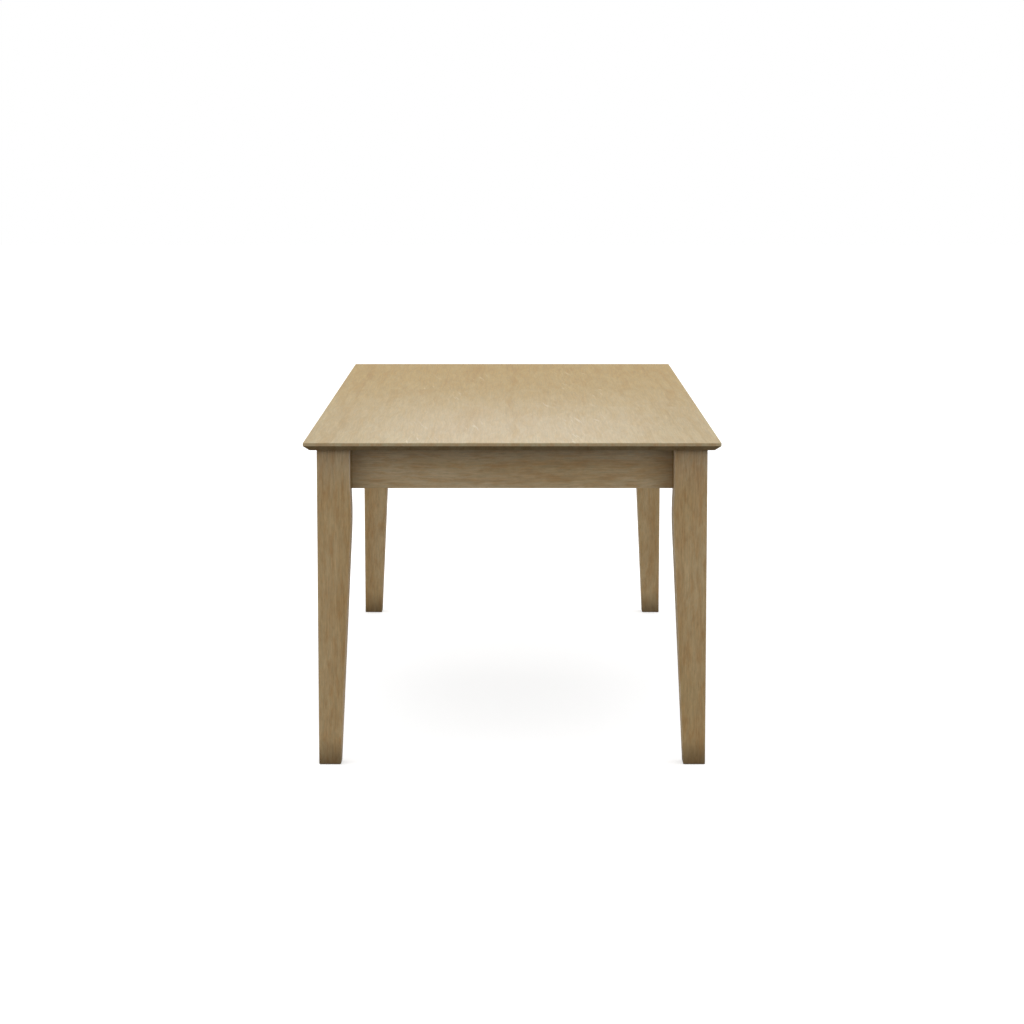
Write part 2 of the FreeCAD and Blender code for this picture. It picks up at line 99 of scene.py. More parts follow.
class Finish:
    """A material being mixed, node by node."""

    def __init__(self, name, metallic=0.0, specular=0.5):
        self.material = bpy.data.materials.new(name)
        self.material.use_nodes = True
        self.tree = self.material.node_tree
        self.shader = self.tree.nodes["Principled BSDF"]
        self.shader.inputs["Metallic"].default_value = metallic
        self.shader.inputs["Specular IOR Level"].default_value = specular
        self.place = self.tree.nodes.new("ShaderNodeTexCoord")

    def add(self, kind, inputs, **settings):
        """A node with its settings, and with its inputs linked to other nodes or set."""
        node = self.tree.nodes.new(kind)
        for key, value in settings.items():
            setattr(node, key, value)
        for key, value in inputs.items():
            if isinstance(value, bpy.types.NodeSocket):
                self.tree.links.new(value, node.inputs[key])
            else:
                node.inputs[key].default_value = value
        return node

    def number(self, operation, *values):
        """Arithmetic on one or two numbers."""
        return self.add("ShaderNodeMath", dict(enumerate(values)), operation=operation).outputs[0]

    def arrow(self, operation, *values):
        """Arithmetic on places and directions."""
        return self.add("ShaderNodeVectorMath", dict(enumerate(values)), operation=operation).outputs[0]

    def read(self, what, axis):
        """One axis of "Object", the place in a part, or of "Normal", the way that a face looks."""
        return self.add("ShaderNodeSeparateXYZ", {"Vector": self.place.outputs[what]}).outputs[axis]

    def clouds(self, where, pace, detail=2.0, rough=0.5, distortion=0.0, answer="Fac"):
        """Soft clouds from 0 to 1, so many to a metre each way. The answer "Color" gives three at once."""
        inputs = {"Vector": self.arrow("MULTIPLY", where, pace), "Scale": 1.0, "Detail": detail,
                  "Roughness": rough, "Distortion": distortion}
        return self.add("ShaderNodeTexNoise", inputs).outputs[answer]

    def part_of(self, value, low, high, to_low=0.0, to_high=1.0):
        """Spreads the part of a value between two limits, smoothly, and holds it outside them."""
        inputs = {"Value": value, "From Min": low, "From Max": high, "To Min": to_low, "To Max": to_high}
        return self.add("ShaderNodeMapRange", inputs, interpolation_type="SMOOTHSTEP").outputs["Result"]

    def mix(self, share, first, second, blend="MIX"):
        """Two colours mixed by a share."""
        inputs = {MIX_SHARE: share, MIX_FIRST: first, MIX_SECOND: second}
        return self.add("ShaderNodeMix", inputs, data_type="RGBA", blend_type=blend).outputs[MIX_RESULT]

    def coat(self, colour, other, where, share):
        """Lays another colour over this one. Where says the places and share how well it covers."""
        return self.mix(self.number("MULTIPLY", where, share), colour, other)

    def glaze(self, colour, tone, share=1.0):
        """Multiplies a colour by a tone, as a thin tinted lacquer does."""
        return self.mix(share, colour, tone, "MULTIPLY")

    def feed(self, name, value):
        """Feeds one of the shader's sockets."""
        self.tree.links.new(value, self.shader.inputs[name])

    def bump(self, height, strength, depth):
        """Turns a height into relief."""
        node = self.add("ShaderNodeBump", {"Height": height, "Strength": strength, "Distance": depth})
        self.feed("Normal", node.outputs["Normal"])


print("a middle grey on the screen is", round(paint(128, 128, 128)[0], 3), "of full light")

# %% [markdown]
# ## Maple, satin lacquered
# The table is a pale hardwood with a quiet figure. A stretched image would be the quick way, but then the
# grain would run over the corners and stop at nothing. Here each board gets its own solid figure instead:
# the noise fills space, stretched along the board, so a face, an edge and an end all cut through the same
# wood. Grown wood is never ruled straight, so the space is first bent, by a slow drift of up to 15 mm
# and a quicker curl of up to 4 mm, and every layer that is cut from it bends along.

# %% Turn a board's own directions into grain directions
GRAIN_TURN = {
    "X": (0.0, -math.pi / 2, 0.0),
    "Y": (math.pi / 2, 0.0, 0.0),
    "Z": (0.0, 0.0, 0.0),
}
DRIFT_PACE = (4.0, 4.0, 1.3)
DRIFT_REACH = (0.03, 0.03, 0.03)
CURL_PACE = (11.0, 11.0, 5.0)
CURL_REACH = (0.008, 0.008, 0.0)


def push(finish, place, pace, reach, detail):
    """How far a noise pushes each place aside, up to half the reach either way."""
    lean = finish.arrow("SUBTRACT", finish.clouds(place, pace, detail, answer="Color"), (0.5, 0.5, 0.5))
    return finish.arrow("MULTIPLY", lean, reach)


def grain_space(finish, grain, shift, half_turn):
    """The place inside the board, turned so that the grain runs along Z, and bent."""
    turn = (0.0, 0.0, math.pi if half_turn else 0.0)
    turned = finish.add("ShaderNodeMapping", {"Vector": finish.place.outputs["Object"], "Rotation": turn})
    laying = {"Vector": turned.outputs[0], "Rotation": GRAIN_TURN[grain], "Location": shift}
    laid = finish.add("ShaderNodeMapping", laying).outputs[0]
    drifted = finish.arrow("ADD", laid, push(finish, laid, DRIFT_PACE, DRIFT_REACH, detail=2.0))
    return finish.arrow("ADD", drifted, push(finish, laid, CURL_PACE, CURL_REACH, detail=1.0))


print("grain can run along", sorted(GRAIN_TURN))

# %% [markdown]
# The layers of the figure are a slow change of ground, warm bands, brown streaks, a ripple that leans off
# the grain, a mottle of grey and warm pores, pale hairlines a few degrees off the grain, dark flecks and
# the fibres themselves. They could be one large noise, but then none could be set against the photograph
# alone. Most are streaks, and a table holds their numbers: how many there are to a metre across and along
# the grain, the part of the noise that shows, and how fine and rough it is. The rubs in the table are for
# the edges, two steps on. "Drawn" is how many times longer the streaks, the ripple, the pores and the
# fibres are on a board that was cut straighter.

# %% The layers of the figure
LAYERS = {
    "ground": {"across": 12.0, "along": 2.0, "low": 0.30, "high": 0.70, "detail": 4.0, "rough": 0.60},
    "bands": {"across": 40.0, "along": 1.4, "low": 0.55, "high": 0.66, "detail": 2.0, "rough": 0.55},
    "streaks": {"across": 88.0, "along": 16.0, "low": 0.42, "high": 0.72, "detail": 4.0, "rough": 0.66},
    "hairlines": {"across": 130.0, "along": 1.8, "low": 0.60, "high": 0.70, "detail": 1.0, "rough": 0.55},
    "hair_patches": {"across": 8.0, "along": 1.5, "low": 0.59, "high": 0.71, "detail": 1.0, "rough": 0.55},
    "flecks": {"across": 340.0, "along": 42.0, "low": 0.68, "high": 0.76, "detail": 1.0, "rough": 0.55},
    "rubs": {"across": 40.0, "along": 18.0, "low": 0.35, "high": 0.65, "detail": 3.0, "rough": 0.55},
}
HAIR_LEAN = (0.05, 0.10, 0.0)
HAIR_PATCH_SHIFT = (3.61, 0.60, 1.57)
LEAN_PACE = (7.0, 7.0, 5.0)
LEAN_ACROSS, LEAN_ALONG = 0.10, 0.02
RIPPLES_ACROSS, RIPPLES_ALONG = 34.0, 9.0
PORES_ACROSS, PORES_ALONG = 230.0, 70.0


def paced(across, along, drawn=1.0):
    """So many features to a metre across and along the grain, drawn out along it."""
    return (across, across, along / drawn)


def streaks(finish, wood, layer, drawn=1.0):
    """Streaks along the grain, from 0 between them to 1 on them."""
    kind = LAYERS[layer]
    pace = paced(kind["across"], kind["along"], drawn)
    clouds = finish.clouds(wood, pace, kind["detail"], kind["rough"])
    return finish.part_of(clouds, kind["low"], kind["high"])


def hairlines(finish, wood):
    """Long pale lines a few degrees off the grain, a few together in scattered patches."""
    leaning = finish.add("ShaderNodeMapping", {"Vector": wood, "Rotation": HAIR_LEAN}).outputs[0]
    elsewhere = finish.arrow("ADD", wood, HAIR_PATCH_SHIFT)
    patches = streaks(finish, elsewhere, "hair_patches")
    return finish.number("MULTIPLY", streaks(finish, leaning, "hairlines"), patches)


def ripple(finish, wood, drawn):
    """The wavy shading that leans off the grain of a figured board, one way and then the other."""
    reach = (LEAN_ACROSS / drawn, LEAN_ACROSS / drawn, LEAN_ALONG)
    leaning = finish.arrow("ADD", wood, push(finish, wood, LEAN_PACE, reach, detail=1.0))
    pace = paced(RIPPLES_ACROSS, RIPPLES_ALONG, drawn)
    waves = finish.clouds(leaning, pace, detail=5.0, rough=0.74, distortion=1.2)
    return finish.part_of(waves, 0.36, 0.64)


def mottle(finish, wood, drawn):
    """The pores, which turn greyer or warmer every few millimetres."""
    pores = finish.clouds(wood, paced(PORES_ACROSS, PORES_ALONG, drawn), detail=3.0, rough=0.7)
    return finish.part_of(pores, 0.3, 0.7)


print("streak layers:", ", ".join(LAYERS), "and besides them ripple and mottle")

# %% [markdown]
# The tones are read off the photograph in open light and then nudged until the lit render agrees. Two
# close tones make the ground, an orange brown makes the bands, the streaks and the ripple, and a pale one
# the hairlines. How strongly each layer shows depends on the cut: the top is quiet and drawn long, the
# sticks of the frame are livelier, and the bare wood underneath lies between them.

# %% Lay the figure over the ground
PALE = paint(197, 172, 129)
HONEY = paint(187, 159, 113)
BROWN = paint(172, 128, 76)
HAIR = paint(226, 208, 172)
FLECK = paint(140, 108, 68)
PORE_GREY = (0.935, 0.945, 0.950, 1.0)
PORE_WARM = (1.045, 1.025, 1.005, 1.0)
FIBRE_SHADE, FIBRE_LIGHT = 0.88, 1.10
FLECK_SHARE = 0.25
STICK = {"drawn": 1.0, "ground": 1.0, "bands": 0.20, "streaks": 0.50, "ripple": 0.22,
         "mottle": 1.0, "hairlines": 0.30}
CUTS = {
    "top": {"drawn": 3.0, "ground": 0.3025, "bands": 0.17, "streaks": 0.15125, "ripple": 0.247,
            "mottle": 0.55, "hairlines": 0.399},
    "leg": STICK,
    "apron": STICK,
    "bare": {"drawn": 1.0, "ground": 0.49, "bands": 0.20, "streaks": 0.245, "ripple": 0.238,
             "mottle": 0.70, "hairlines": 0.366},
}


def figure(finish, wood, fibres, waves, cut):
    """The colour of the wood itself, laid on from the ground up."""
    drawn = cut["drawn"]
    colour = finish.coat(PALE, HONEY, streaks(finish, wood, "ground"), cut["ground"])
    colour = finish.coat(colour, BROWN, streaks(finish, wood, "bands"), cut["bands"])
    colour = finish.coat(colour, BROWN, streaks(finish, wood, "streaks", drawn), cut["streaks"])
    colour = finish.coat(colour, BROWN, waves, cut["ripple"])
    pores = finish.mix(mottle(finish, wood, drawn), PORE_GREY, PORE_WARM)
    colour = finish.glaze(colour, pores, cut["mottle"])
    colour = finish.glaze(colour, finish.part_of(fibres, 0.3, 0.7, FIBRE_SHADE, FIBRE_LIGHT))
    colour = finish.coat(colour, HAIR, hairlines(finish, wood), cut["hairlines"])
    return finish.coat(colour, FLECK, streaks(finish, wood, "flecks"), FLECK_SHARE)


print("the figure is cut for", ", ".join(CUTS))

# %% [markdown]
# A board's ends drink more of the finish than its faces, so end grain is darker and shows the rings as
# short ticks. Edges that hands and chairs rub turn a little paler and smoother. Masks could be painted by
# hand, but here both are found from the direction that a face looks in. It is read from the part itself,
# so the marks stay put when the part moves.

# %% Ends and rubbed edges
END_GREY = paint(180, 160, 120)
END_RED = paint(182, 142, 98)
TICK_PACE = (420.0, 60.0, 420.0)
RING_PACE = (75.0, 30.0, 75.0)


def eased_edges(finish, low=0.80, high=0.97):
    """1 where an edge is rounded over, and 0 on the flat faces."""
    size = finish.arrow("ABSOLUTE", finish.place.outputs["Normal"])
    x, y, z = finish.add("ShaderNodeSeparateXYZ", {"Vector": size}).outputs
    square = finish.number("MAXIMUM", x, finish.number("MAXIMUM", y, z))
    return finish.part_of(square, low, high, 1.0, 0.0)


def end_grain(finish, wood, grain, colour):
    """Darkens the faces that cut across the grain, and draws ticks on them."""
    end = finish.part_of(finish.number("ABSOLUTE", finish.read("Normal", grain)), 0.70, 0.95)
    ticks = finish.clouds(wood, TICK_PACE, detail=3.0, rough=0.7)
    rings = finish.clouds(wood, RING_PACE, detail=3.0, rough=0.6)
    tone = finish.mix(finish.part_of(rings, 0.35, 0.65), END_GREY, END_RED)
    share = finish.number("MULTIPLY", end, finish.part_of(ticks, 0.3, 0.7, 0.3, 0.9))
    return finish.mix(share, colour, tone)


def rubbed(finish, wood):
    """Where an eased edge has been rubbed, in streaks along the grain."""
    return finish.number("MULTIPLY", eased_edges(finish), streaks(finish, wood, "rubs"))


print("end grain runs from", [round(v, 3) for v in END_GREY[:3]], "to", [round(v, 3) for v in END_RED[:3]])

# %% [markdown]
# Some marks go by place. A painted sheen pales and greys the near end of the top, and painted shade
# darkens its bevel and underside. The legs darken toward the floor, painted shade with some dirt. A painted
# highlight pales the inner edges of the legs, painted light lifts and greys the frame just under the top,
# and painted shade darkens the end apron toward the legs, up to a painted shadow line at each joint. Each
# mark is a glaze, a tone that the colour is multiplied by, because it tints the wood and leaves its figure
# visible.

# %% Painted light and shade, and dirt
# Painted sheen on the top: paler and greyer toward the near end, darker and warmer toward the far end.
PAINTED_SHEEN_NEAR = (0.96, 1.07, 1.24, 1.0)
PAINTED_SHEEN_FAR = (0.90, 0.90, 0.80, 1.0)
PAINTED_SHEEN_REACH = (-1.2, 1.2)
# Painted shade on faces that look down, such as the bevel and underside of the top.
PAINTED_SHADE_BELOW = (0.60, 0.52, 0.42, 1.0)
# Painted shade near the floor, with dirt, at the feet of the legs.
FOOT_SHADE_AND_DIRT = (0.32, 0.31, 0.30, 1.0)
SHADE_AND_DIRT_LEVELS = (-0.010, 0.085)
SHADE_AND_DIRT_PACE = (30.0, 30.0, 30.0)
SHADE_AND_DIRT_UNEVEN = 0.02
# Painted highlight on the inner eased edges of the legs.
PAINTED_EDGE_HIGHLIGHT = (1.20, 1.25, 1.40, 1.0)
# Painted shade on the end apron toward the legs, and a painted shadow line where it meets each leg.
CORNER_SHADE = (0.76, 0.75, 0.74, 1.0)
CORNER_REACH = (0.29, 0.38)
PAINTED_JOINT_SHADOW = (0.77, 0.73, 0.63, 1.0)
JOINT_REACH = (0.3720, 0.3735)
# Painted light on the frame just under the top, paler and bluer on the aprons, bluer on the legs.
PAINTED_LIGHT_LEVEL = 0.738
PAINTED_LIGHT_UNDER_TOP = {"leg": ((0.99, 1.04, 1.20, 1.0), 0.120), "apron": ((1.22, 1.32, 1.52, 1.0), 0.038)}


def painted_shade_below(finish, colour):
    """Painted shade: the bevel and the underside of a top are darker."""
    down = finish.part_of(finish.read("Normal", "Z"), -0.7, -0.3, 1.0, 0.0)
    return finish.glaze(colour, PAINTED_SHADE_BELOW, down)


def painted_sheen(finish, colour):
    """A painted sheen: the near end of the top is paler and greyer than the far end."""
    tone = finish.mix(finish.part_of(finish.read("Object", "Y"), *PAINTED_SHEEN_REACH), PAINTED_SHEEN_NEAR, PAINTED_SHEEN_FAR)
    return finish.glaze(colour, tone)


def shade_and_dirt_at_feet(finish, wood, colour):
    """Legs darken over the last few centimetres: painted shade near the floor, and dirt from mops and
    shoes.
    """
    uneven = finish.number("MULTIPLY", finish.clouds(wood, SHADE_AND_DIRT_PACE), SHADE_AND_DIRT_UNEVEN)
    level = finish.number("ADD", finish.read("Object", "Z"), uneven)
    return finish.glaze(colour, FOOT_SHADE_AND_DIRT, finish.part_of(level, *SHADE_AND_DIRT_LEVELS, 1.0, 0.0))


def painted_inner_edge_highlight(finish, colour):
    """A painted highlight: the eased edges of a leg that look toward the middle of the table are paler."""
    outward = [finish.number("MULTIPLY", finish.read("Normal", axis), finish.read("Object", axis))
               for axis in ("X", "Y")]
    inward = finish.part_of(finish.number("MINIMUM", *outward), -0.2, -0.1, 1.0, 0.0)
    return finish.glaze(colour, PAINTED_EDGE_HIGHLIGHT, finish.number("MULTIPLY", inward, eased_edges(finish)))


def shaded_ends(finish, colour):
    """Painted shade: the end apron darkens toward the legs, with a painted shadow line at each joint."""
    reach = finish.number("ABSOLUTE", finish.read("Object", "X"))
    colour = finish.glaze(colour, CORNER_SHADE, finish.part_of(reach, *CORNER_REACH))
    return finish.glaze(colour, PAINTED_JOINT_SHADOW, finish.part_of(reach, *JOINT_REACH))


def painted_light_under_top(finish, colour, tone, reach):
    """Painted light: the frame is greyer and bluer just under the top, in the shade of the overhang."""
    high = finish.part_of(finish.read("Object", "Z"), PAINTED_LIGHT_LEVEL - reach, PAINTED_LIGHT_LEVEL)
    return finish.glaze(colour, tone, high)


# The painted light starts below this level, and the painted shade and dirt at the feet reach up to this
# height.
print("dust lies under", PAINTED_LIGHT_LEVEL, "m, and dirt reaches up to", SHADE_AND_DIRT_LEVELS[1], "m")

# %% [markdown]
# A board is mixed from the inside out: first the wood's own figure, then its ends and its rubbed edges,
# then the painted light and shade and the dirt that go by place, and at last a tint for the sticks of the
# frame: a slight one on the legs, and on the aprons and skirts a paler, bluer one that is painted light,
# standing in for the grey light in the shade under the top. The fibres also steer the gloss, and with the
# ripple they give a very slight relief, because lacquer sinks a little over them. One function for every
# board makes them read as one wood, while each board's own shift gives it a figure of its own.

# %% Mix a board
WOOD_SPECULAR = 0.03
FIBRES_ACROSS, FIBRES_ALONG = 310.0, 20.0
# The apron tint is painted light: paler and bluer, for the grey light in the shade under the top.
TINTS = {"leg": (0.97, 0.99, 1.05, 1.0), "apron": (1.07, 1.16, 1.38, 1.0)}
RUB_PALER, RUB_SMOOTHER = 0.3, 0.3
FIBRE_SMOOTHER, FIBRE_ROUGHER = 0.06, 0.08
RIPPLE_RELIEF = 0.8


def maple(name, grain, shift, use, half_turn=False, roughness=0.5):
    """A maple board with its own cut of the figure. Use is "top", "leg", "apron" or "bare"."""
    cut = CUTS[use]
    finish = Finish(name, specular=WOOD_SPECULAR)
    wood = grain_space(finish, grain, shift, half_turn)
    fibre_pace = paced(FIBRES_ACROSS, FIBRES_ALONG, cut["drawn"])
    fibres = finish.clouds(wood, fibre_pace, detail=4.0, rough=0.75)
    waves = ripple(finish, wood, cut["drawn"])
    worn = rubbed(finish, wood)
    colour = end_grain(finish, wood, grain, figure(finish, wood, fibres, waves, cut))
    colour = finish.coat(colour, HAIR, worn, RUB_PALER)
    # On the top: a painted sheen toward the near end, and painted shade on the bevel and underside.
    if use == "top":
        colour = painted_shade_below(finish, painted_sheen(finish, colour))
    # On the legs: a painted highlight on the inner edges, and painted shade and dirt at the feet.
    if use == "leg":
        colour = shade_and_dirt_at_feet(finish, wood, painted_inner_edge_highlight(finish, colour))
    # Painted light on the frame just under the top.
    if use in PAINTED_LIGHT_UNDER_TOP:
        colour = painted_light_under_top(finish, colour, *PAINTED_LIGHT_UNDER_TOP[use])
    # On the end aprons: painted shade toward the legs and a painted shadow line at each joint.
    if use == "apron" and grain == "X":
        colour = shaded_ends(finish, colour)
    # A tint for the frame, which on the aprons and skirts is painted light.
    if use in TINTS:
        colour = finish.glaze(colour, TINTS[use])
    finish.feed("Base Color", colour)
    dull = finish.number("SUBTRACT", fibres, finish.number("MULTIPLY", worn, RUB_SMOOTHER))
    limits = (roughness - FIBRE_SMOOTHER, roughness + FIBRE_ROUGHER)
    finish.feed("Roughness", finish.part_of(dull, 0.2, 0.8, *limits))
    relief = finish.number("ADD", fibres, finish.number("MULTIPLY", waves, RIPPLE_RELIEF))
    finish.bump(relief, strength=0.35, depth=0.00012)
    return finish.material


def wear(part, material):
    """Puts a material in every slot of a part."""
    for slot in part.material_slots:
        slot.material = material


print("maple can be mixed for", ", ".join(CUTS), "with", FIBRES_ACROSS, "fibres to a metre")

# %% [markdown]
# ## The top
# In the photograph the far board shows the same figure as the near one, and the leaf shows it turned
# end for end, as boards do that were laid up from one sequence of veneers or staves. The same wood is
# therefore cut at three places: once as it is, once moved on by a half and a leaf, so that the figure
# begins again, and once turned.

# %% Finish the three top boards
board_step = 1.397
leaf_step = 1.0
top_boards = {
    "near_top": ("maple_near_board", 0.0, False),
    "leaf_top": ("maple_leaf_board", leaf_step, True),
    "far_top": ("maple_far_board", board_step, False),
}
for part_name, (name, step, half_turn) in top_boards.items():
    wear(parts[part_name], maple(name, "Y", (0.0, 0.0, -step), "top", half_turn))
print("top boards finished:", ", ".join(top_boards))

# %% [markdown]
# ## Legs, aprons and skirts
# Grain follows the length of a piece, because wood is weak across it: up the legs, and along the aprons.
# Each leg is its own stick, so each takes its cut from another place in the wood, a little way off
# across the grain and far off along it.

# %% Finish the frame under the top
legs = sorted(name for name in parts if name.endswith("_leg"))
end_aprons = ("near_end_apron", "far_end_apron")
side_boards = sorted(name for name in parts if name.endswith(("_right_apron", "_left_apron", "_skirt")))


def cut_row(names, grain, use, start, step):
    """Cuts a row of alike pieces, each a step further on in the wood."""
    for number, name in enumerate(names):
        shift = tuple(begin + number * on for begin, on in zip(start, step))
        wear(parts[name], maple("maple_" + name, grain, shift, use))
    print(len(names), "pieces of", use, "wood with the grain along", grain)


cut_row(legs, "Z", "leg", start=(0.0, 0.0, 0.0), step=(0.37, 0.21, 1.7))
cut_row(end_aprons, "X", "apron", start=(0.0, 3.1, 0.0), step=(0.53, 0.0, 2.3))
cut_row(side_boards, "Y", "apron", start=(5.0, 0.0, 0.0), step=(0.31, 0.0, 0.9))

# %% [markdown]
# ## Bare wood underneath
# Cleats, battens, slide runners, crossbars and stops are planed and left without lacquer. Nobody sees
# them from a chair, so two shared finishes are enough, one for each way that the grain runs. Both are
# rougher than the show wood, and the runners a little less so, since they have a rub of wax.

# %% Finish the hidden wood
bare_cross_pieces = maple("bare_maple_cross_pieces", "X", (7.3, 0.4, 0.2), "bare", roughness=0.68)
bare_runners = maple("bare_maple_runners", "Y", (9.1, 0.6, 0.1), "bare", roughness=0.60)


def dress(endings, material):
    """Puts a material on every part whose name has one of the endings."""
    chosen = [part for name, part in parts.items() if name.endswith(endings)]
    for part in chosen:
        wear(part, material)
    print(material.name, "on", len(chosen), "parts")


dress(("_cleat", "_batten", "_crossbar"), bare_cross_pieces)
dress(("_runner", "_stops"), bare_runners)

# %% [markdown]
# ## Plated steel and nylon
# Zinc plate is a grey metal with a faint patchwork of crystals and fine scratches. The locks are pressed
# steel with a brassy passivated coat. A plain grey would read as plastic, so the patchwork sets the colour
# of the metal and the scratches its gloss, and both run on through the whole part.

# %% Mix the metals
CRYSTALS = 420.0
CRYSTAL_SHARE = 0.35
PLATE_CLOUDS = (150.0, 150.0, 150.0)
SCRATCH_PACE = (2400.0, 90.0, 700.0)
SCRATCH_ROUGHER = 0.16
RUBBED_PLATE = paint(226, 226, 222)
RUBBED_SHARE = 0.3


def plated(name, colour, dull, roughness):
    """A plated metal with crystal patches, scratches and paler rubbed edges."""
    finish = Finish(name, metallic=1.0)
    place = finish.place.outputs["Object"]
    patches = finish.add("ShaderNodeTexVoronoi", {"Vector": place, "Scale": CRYSTALS}).outputs["Color"]
    patch = finish.add("ShaderNodeSeparateColor", {"Color": patches}).outputs[0]
    clouds = finish.clouds(place, PLATE_CLOUDS, detail=4.0, rough=0.6)
    crystals = finish.number("MULTIPLY", patch, CRYSTAL_SHARE)
    tone = finish.number("ADD", crystals, finish.number("MULTIPLY", clouds, 1.0 - CRYSTAL_SHARE))
    base = finish.mix(finish.part_of(tone, 0.2, 0.8), colour, dull)
    edges = eased_edges(finish, low=0.85, high=0.99)
    finish.feed("Base Color", finish.coat(base, RUBBED_PLATE, edges, RUBBED_SHARE))
    scratches = finish.clouds(place, SCRATCH_PACE, detail=2.0, rough=0.7)
    finish.feed("Roughness", finish.part_of(scratches, 0.3, 0.7, roughness, roughness + SCRATCH_ROUGHER))
    finish.bump(scratches, strength=0.25, depth=0.00004)
    return finish.material


zinc = plated("zinc_plate", paint(182, 184, 186), paint(150, 153, 158), 0.30)
brass_plate = plated("brass_plate", paint(196, 172, 120), paint(178, 154, 104), 0.26)
dress(("_brackets", "_bolts", "_nuts", "_pins"), zinc)
dress(("_plates", "_keepers", "_lever"), brass_plate)

# %% [markdown]
# Gears and foot glides are moulded nylon, slightly waxy, with a soft grain from the mould. A little light
# goes into it and comes out again beside, which a touch of subsurface scattering gives.

# %% Mix the nylon
NYLON_CLOUDS = (90.0, 90.0, 90.0)
MOULD_GRAIN = (1800.0, 1800.0, 1800.0)
NYLON_ROUGHNESS = (0.36, 0.50)


def moulded(name, colour, shaded):
    """A nylon moulding with a waxy sheen and a fine grain."""
    finish = Finish(name)
    finish.shader.inputs["Subsurface Weight"].default_value = 0.15
    finish.shader.inputs["Subsurface Radius"].default_value = (0.004, 0.003, 0.002)
    place = finish.place.outputs["Object"]
    clouds = finish.clouds(place, NYLON_CLOUDS, detail=3.0, rough=0.6)
    finish.feed("Base Color", finish.mix(finish.part_of(clouds, 0.3, 0.7), colour, shaded))
    grain = finish.clouds(place, MOULD_GRAIN, detail=2.0, rough=0.6)
    finish.feed("Roughness", finish.part_of(grain, 0.3, 0.7, *NYLON_ROUGHNESS))
    finish.bump(grain, strength=0.3, depth=0.00005)
    return finish.material


gear_nylon = moulded("gear_nylon", paint(226, 222, 208), paint(212, 206, 188))
glide_nylon = moulded("glide_nylon", paint(150, 138, 118), paint(132, 120, 100))
dress(("_rack", "_pinion"), gear_nylon)
dress(("_glides",), glide_nylon)

# %% [markdown]
# ## Screws
# The fixings are too small to be worth a CAD part each, yet the underside looks unfinished without them.
# One pan head with a cross recess is turned and cut, and every screw is a copy of its mesh, set down by
# a place and the way it faces. All the screws of one body are joined into one object.
# A lathe turns the real head from a profile, and so does the first step: rings of points, each a share of
# the head's radius and height, are joined by faces.

# %% Turn the head
HEAD_PROFILE = ((0.35, 0.97), (0.62, 0.86), (0.84, 0.64), (0.96, 0.36), (1.0, 0.0))
HEAD_SIDES = 24
head_radius = 0.0040
head_height = 0.0018


def as_mesh(name, shape):
    """Keeps a worked shape as a mesh and clears the bench."""
    mesh = bpy.data.meshes.new(name)
    shape.to_mesh(mesh)
    shape.free()
    return mesh


def turned_ring(shape, radius, level):
    """One ring of points round the axis of the head."""
    angles = [side * math.tau / HEAD_SIDES for side in range(HEAD_SIDES)]
    ways = [(math.cos(angle), math.sin(angle)) for angle in angles]
    return [shape.verts.new((radius * x, radius * y, level)) for x, y in ways]


def turned_head(radius, height):
    """The solid head standing on z = 0, before the recess is cut."""
    shape = bmesh.new()
    rings = [turned_ring(shape, radius * reach, height * rise) for reach, rise in HEAD_PROFILE]
    shape.faces.new(rings[0])
    for inner, outer in zip(rings, rings[1:]):
        for side in range(HEAD_SIDES):
            after = (side + 1) % HEAD_SIDES
            shape.faces.new((inner[side], outer[side], outer[after], inner[after]))
    shape.faces.new(list(reversed(rings[-1])))
    bmesh.ops.recalc_face_normals(shape, faces=shape.faces)
    return as_mesh("screw_head", shape)


plain_head = turned_head(head_radius, head_height)
print("turned head", len(plain_head.polygons), "faces")

# %% [markdown]
# The recess could be drawn into the rings, but a punch makes it on the real screw, and two crossed blocks
# taken away from the head do the same in fewer lines. The cross is a little over half the head across,
# and its arms are about a millimetre wide.

# %% Cut the recess
RECESS_LENGTH, RECESS_WIDTH = 1.1, 0.24
recess_depth = 0.0009


def cutter_block(size, level):
    """A block for the recess, as an object that is thrown away afterwards."""
    shape = bmesh.new()
    bmesh.ops.create_cube(shape, size=1.0, matrix=Matrix.Diagonal((*size, 1.0)))
    cutter = add_object("recess", as_mesh("recess", shape))
    cutter.location.z = level
    return cutter


def with_recess(plain, radius, height, depth):
    """The head with a cross recess in its crown."""
    head = add_object("screw_head", plain)
    arm, slot, block = radius * RECESS_LENGTH, radius * RECESS_WIDTH, depth * 2
    for size in ((arm, slot, block), (slot, arm, block)):
        cutter = cutter_block(size, height)
        cut = head.modifiers.new("cross", "BOOLEAN")
        cut.object = cutter
        bpy.context.view_layer.update()
        cut_head = head.evaluated_get(bpy.context.evaluated_depsgraph_get())
        cut_mesh = bpy.data.meshes.new_from_object(cut_head)
        head.modifiers.clear()
        head.data = cut_mesh
        bpy.data.objects.remove(cutter)
    finished = head.data
    bpy.data.objects.remove(head)
    return finished


pan_head = with_recess(plain_head, head_radius, head_height, recess_depth)
print("pan head", len(pan_head.polygons), "faces")

# %% [markdown]
# A screw's place is where its head meets the wood, and its facing is the way that the head looks.
# The heights are read from the parts, so that the heads sit on whatever the CAD model says. Nobody lines
# up the crosses, so each screw is turned a little further than the one before.

# %% Set the screws down on their parts
DOWN = Vector((0.0, 0.0, -1.0))
SPIN_STEP = 0.7


